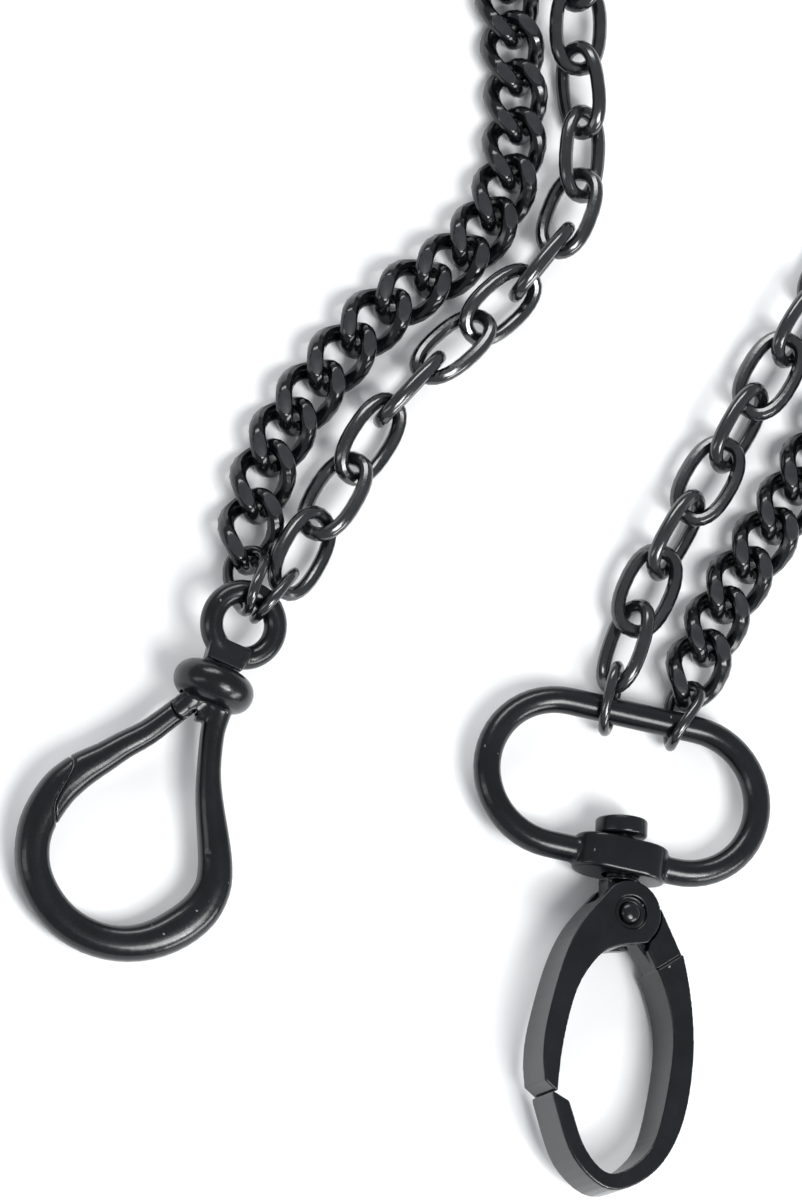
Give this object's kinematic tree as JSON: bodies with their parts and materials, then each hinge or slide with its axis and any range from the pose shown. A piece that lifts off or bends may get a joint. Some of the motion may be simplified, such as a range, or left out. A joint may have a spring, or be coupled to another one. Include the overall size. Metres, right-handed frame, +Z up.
{
  "type": "wallet chain",
  "caption": "Double-strand black wallet chain, twisted curb links beside plain oval links, with a swivel pear clip at one end and a swivel lever clasp at the other.",
  "frame": {"origin": "middle of the bounding box, on the plane that the chain lies on", "axes": "+Z up, away from the plane; +Y from the clips towards the chain's bend, the longest way; +X from the pear clip towards the lever clasp"},
  "size_m": [0.1238, 0.1916, 0.0084],
  "materials": {
    "clip": "satin black lacquer over a die-cast body",
    "clasp": "satin black lacquer over a die-cast body",
    "rings": "gloss black plated wire",
    "curb_chain": "gloss black, ground flats slightly greyer",
    "cable_chain": "gloss black plated wire",
    "pins": "satin black",
    "springs": "plain spring wire"
  },
  "bodies": {
    "eye": {"clip_eye": "clip"},
    "clip": {"clip_body": "clip", "clip_gate_pin": "pins", "clip_gate_spring": "springs"},
    "gate": {"clip_gate": "clip"},
    "clip_rings": {"clip_ring_curb": "rings", "clip_ring_cable": "rings"},
    "chain_01": {"curb_links_01": "curb_chain", "cable_links_01": "cable_chain"},
    "chain_02": {"curb_links_02": "curb_chain", "cable_links_02": "cable_chain"},
    "chain_03": {"curb_links_03": "curb_chain", "cable_links_03": "cable_chain"},
    "chain_04": {"curb_links_04": "curb_chain", "cable_links_04": "cable_chain"},
    "chain_05": {"curb_links_05": "curb_chain", "cable_links_05": "cable_chain"},
    "chain_06": {"curb_links_06": "curb_chain", "cable_links_06": "cable_chain"},
    "chain_07": {"curb_links_07": "curb_chain", "cable_links_07": "cable_chain"},
    "chain_08": {"curb_links_08": "curb_chain", "cable_links_08": "cable_chain"},
    "chain_09": {"curb_links_09": "curb_chain", "cable_links_09": "cable_chain"},
    "chain_10": {"curb_links_10": "curb_chain", "cable_links_10": "cable_chain"},
    "chain_11": {"curb_links_11": "curb_chain", "cable_links_11": "cable_chain"},
    "chain_12": {"curb_links_12": "curb_chain", "cable_links_12": "cable_chain"},
    "chain_13": {"curb_links_13": "curb_chain", "cable_links_13": "cable_chain"},
    "chain_14": {"curb_links_14": "curb_chain", "cable_links_14": "cable_chain"},
    "chain_15": {"curb_links_15": "curb_chain", "cable_links_15": "cable_chain"},
    "chain_16": {"curb_links_16": "curb_chain", "cable_links_16": "cable_chain"},
    "loop_rings": {"loop_ring_curb": "rings", "loop_ring_cable": "rings"},
    "loop": {"swivel_loop": "clasp"},
    "hook": {"swivel_post": "clasp", "hook_body": "clasp", "lever_rivet": "pins", "lever_spring": "springs"},
    "lever": {"hook_lever": "clasp"}
  },
  "joints": [
    {"name": "clip_swivel", "type": "hinge", "parent": "eye", "child": "clip", "pos_m": [-0.0429, -0.047, 0.00416], "axis": [-0.3573, -0.9308, -0.0767], "continuous": true},
    {"name": "gate_pivot", "type": "hinge", "parent": "clip", "child": "gate", "pos_m": [-0.04571, -0.04902, 0.00394], "axis": [-0.0275, -0.0716, 0.9971], "range_deg": [0, 25], "stiffness_Nm_per_rad": 0.01, "springref_deg": -17.19},
    {"name": "rings_on_eye", "type": "hinge", "parent": "eye", "child": "clip_rings", "pos_m": [-0.03865, -0.03807, 0.00486], "axis": [0.8905, -0.4368, -0.1272], "range_deg": [-25, 25]},
    {"name": "bend_01", "type": "hinge", "parent": "clip_rings", "child": "chain_01", "pos_m": [-0.0375, -0.03475, 0.00306], "axis": [0.8361, -0.5225, 0.1672], "range_deg": [-12, 12]},
    {"name": "bend_02", "type": "hinge", "parent": "chain_01", "child": "chain_02", "pos_m": [-0.02825, -0.01625, 0.00248], "axis": [-0.8661, 0.4664, -0.1799], "range_deg": [-12, 12]},
    {"name": "bend_03", "type": "hinge", "parent": "chain_02", "child": "chain_03", "pos_m": [-0.01375, -0.00225, 0.00253], "axis": [0.8235, -0.5241, 0.2171], "range_deg": [-12, 12]},
    {"name": "bend_04", "type": "hinge", "parent": "chain_03", "child": "chain_04", "pos_m": [-0.008, 0.01575, 0.00238], "axis": [-0.8333, 0.5357, -0.1369], "range_deg": [-12, 12]},
    {"name": "bend_05", "type": "hinge", "parent": "chain_04", "child": "chain_05", "pos_m": [-0.008, 0.0355, 0.00233], "axis": [0.9087, -0.4039, 0.106], "range_deg": [-12, 12]},
    {"name": "bend_06", "type": "hinge", "parent": "chain_05", "child": "chain_06", "pos_m": [-0.00792, 0.05604, 0.00194], "axis": [-0.9291, 0.3685, -0.0316], "range_deg": [-12, 12]},
    {"name": "bend_07", "type": "hinge", "parent": "chain_06", "child": "chain_07", "pos_m": [-0.00296, 0.07454, 0.00194], "axis": [0.5958, -0.8025, 0.0324], "range_deg": [-12, 12]},
    {"name": "bend_08", "type": "hinge", "parent": "chain_07", "child": "chain_08", "pos_m": [0.01182, 0.08674, 0.00194], "axis": [-0.0873, 0.9956, -0.0332], "range_deg": [-12, 12]},
    {"name": "bend_09", "type": "hinge", "parent": "chain_08", "child": "chain_09", "pos_m": [0.03094, 0.0881, 0.00194], "axis": [-0.4445, -0.8952, 0.0338], "range_deg": [-12, 12]},
    {"name": "bend_10", "type": "hinge", "parent": "chain_09", "child": "chain_10", "pos_m": [0.04731, 0.07812, 0.00194], "axis": [0.8446, 0.5343, -0.0343], "range_deg": [-12, 12]},
    {"name": "bend_11", "type": "hinge", "parent": "chain_10", "child": "chain_11", "pos_m": [0.05486, 0.06049, 0.00194], "axis": [-0.9992, -0.0198, 0.0346], "range_deg": [-12, 12]},
    {"name": "bend_12", "type": "hinge", "parent": "chain_11", "child": "chain_12", "pos_m": [0.05078, 0.04175, 0.00194], "axis": [0.8655, -0.4997, -0.0347], "range_deg": [-12, 12]},
    {"name": "bend_13", "type": "hinge", "parent": "chain_12", "child": "chain_13", "pos_m": [0.041, 0.0245, 0.00194], "axis": [-0.9187, 0.3937, 0.0328], "range_deg": [-12, 12]},
    {"name": "bend_14", "type": "hinge", "parent": "chain_13", "child": "chain_14", "pos_m": [0.03125, 0.00725, 0.00203], "axis": [0.9581, -0.2818, -0.0507], "range_deg": [-12, 12]},
    {"name": "bend_15", "type": "hinge", "parent": "chain_14", "child": "chain_15", "pos_m": [0.02125, -0.0095, 0.00233], "axis": [-0.9886, 0.1041, 0.1093], "range_deg": [-12, 12]},
    {"name": "bend_16", "type": "hinge", "parent": "chain_15", "child": "chain_16", "pos_m": [0.011, -0.0265, 0.00233], "axis": [0.9873, -0.1097, -0.1152], "range_deg": [-12, 12]},
    {"name": "loop_rings_on_chain", "type": "hinge", "parent": "chain_16", "child": "loop_rings", "pos_m": [0.0022, -0.0442, 0.00266], "axis": [-0.9825, 0.1551, 0.1034], "range_deg": [-12, 12]},
    {"name": "loop_on_rings", "type": "hinge", "parent": "loop_rings", "child": "loop", "pos_m": [0.0012, -0.04779, 0.00271], "axis": [0.9849, -0.1734, 0], "range_deg": [-30, 30]},
    {"name": "hook_swivel", "type": "hinge", "parent": "loop", "child": "hook", "pos_m": [-0.0015, -0.0622, 0.00336], "axis": [-0.0697, -0.9966, 0.0436], "continuous": true},
    {"name": "lever_pivot", "type": "hinge", "parent": "hook", "child": "lever", "pos_m": [-0.00152, -0.06811, 0.00356], "axis": [0.1418, 0.0334, 0.9893], "range_deg": [0, 25], "stiffness_Nm_per_rad": 0.01, "springref_deg": -17.19}
  ]
}
